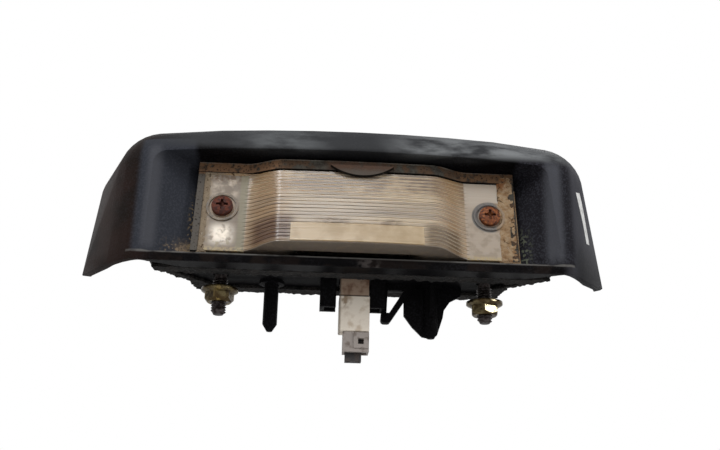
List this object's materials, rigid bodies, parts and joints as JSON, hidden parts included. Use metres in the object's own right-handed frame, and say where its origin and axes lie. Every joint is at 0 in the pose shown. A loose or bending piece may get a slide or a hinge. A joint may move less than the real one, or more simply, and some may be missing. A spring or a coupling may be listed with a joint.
{
  "type": "number plate lamp",
  "caption": "Hooded number plate lamp for a vehicle door: black moulded hood with a ribbed arched lens, foam-sealed back, mounting studs with flange nuts, locating pegs and a connector.",
  "frame": {"origin": "half way between the two studs, on the face of the foam seal that lies on the door", "axes": "+Z out of the door, away from the vehicle; the lens looks towards -Y; X along the lamp"},
  "size_m": [0.2107, 0.065, 0.0897],
  "materials": {
    "hood_plastic": "grained black polypropylene, dusty, silt in the scoop's corners",
    "seal_foam": "dark cut foam strip, frayed at its edges",
    "tray_plastic": "grey moulded plastic under dried silt",
    "gasket_rubber": "thin black rubber",
    "lens_plastic": "clear ribbed polycarbonate, yellowed and hazed, brown on the ramps",
    "rusty_steel": "steel pan head, brown rust",
    "stud_steel": "tarnished threaded steel",
    "plated_nut": "yellow zinc plating, dulled, brown in the corners",
    "bulb_glass": "clear glass with steel end caps",
    "contact_brass": "stamped brass, dulled",
    "base_plastic": "pale plastic stained brown",
    "connector_plastic": "off-white plastic with dirt in its edges",
    "nose_plastic": "grey plastic",
    "carrier_plastic": "black plastic"
  },
  "bodies": {
    "root": {"hood_housing": "hood_plastic", "door_seal": "seal_foam", "lamp_body": "tray_plastic", "lens_gasket": "gasket_rubber", "lens": "lens_plastic", "lens_screw_left": "rusty_steel", "lens_screw_right": "rusty_steel", "stud_left": "stud_steel", "stud_right": "stud_steel", "flange_nut_left": "plated_nut", "flange_nut_right": "plated_nut", "bulb_left": "bulb_glass", "bulb_right": "bulb_glass", "feed_strip": "contact_brass", "earth_strip": "contact_brass", "connector_base": "base_plastic", "connector_body": "connector_plastic", "latch_nose": "nose_plastic", "terminal_carrier": "carrier_plastic", "terminal_feed": "contact_brass", "terminal_earth": "contact_brass"}
  },
  "joints": []
}
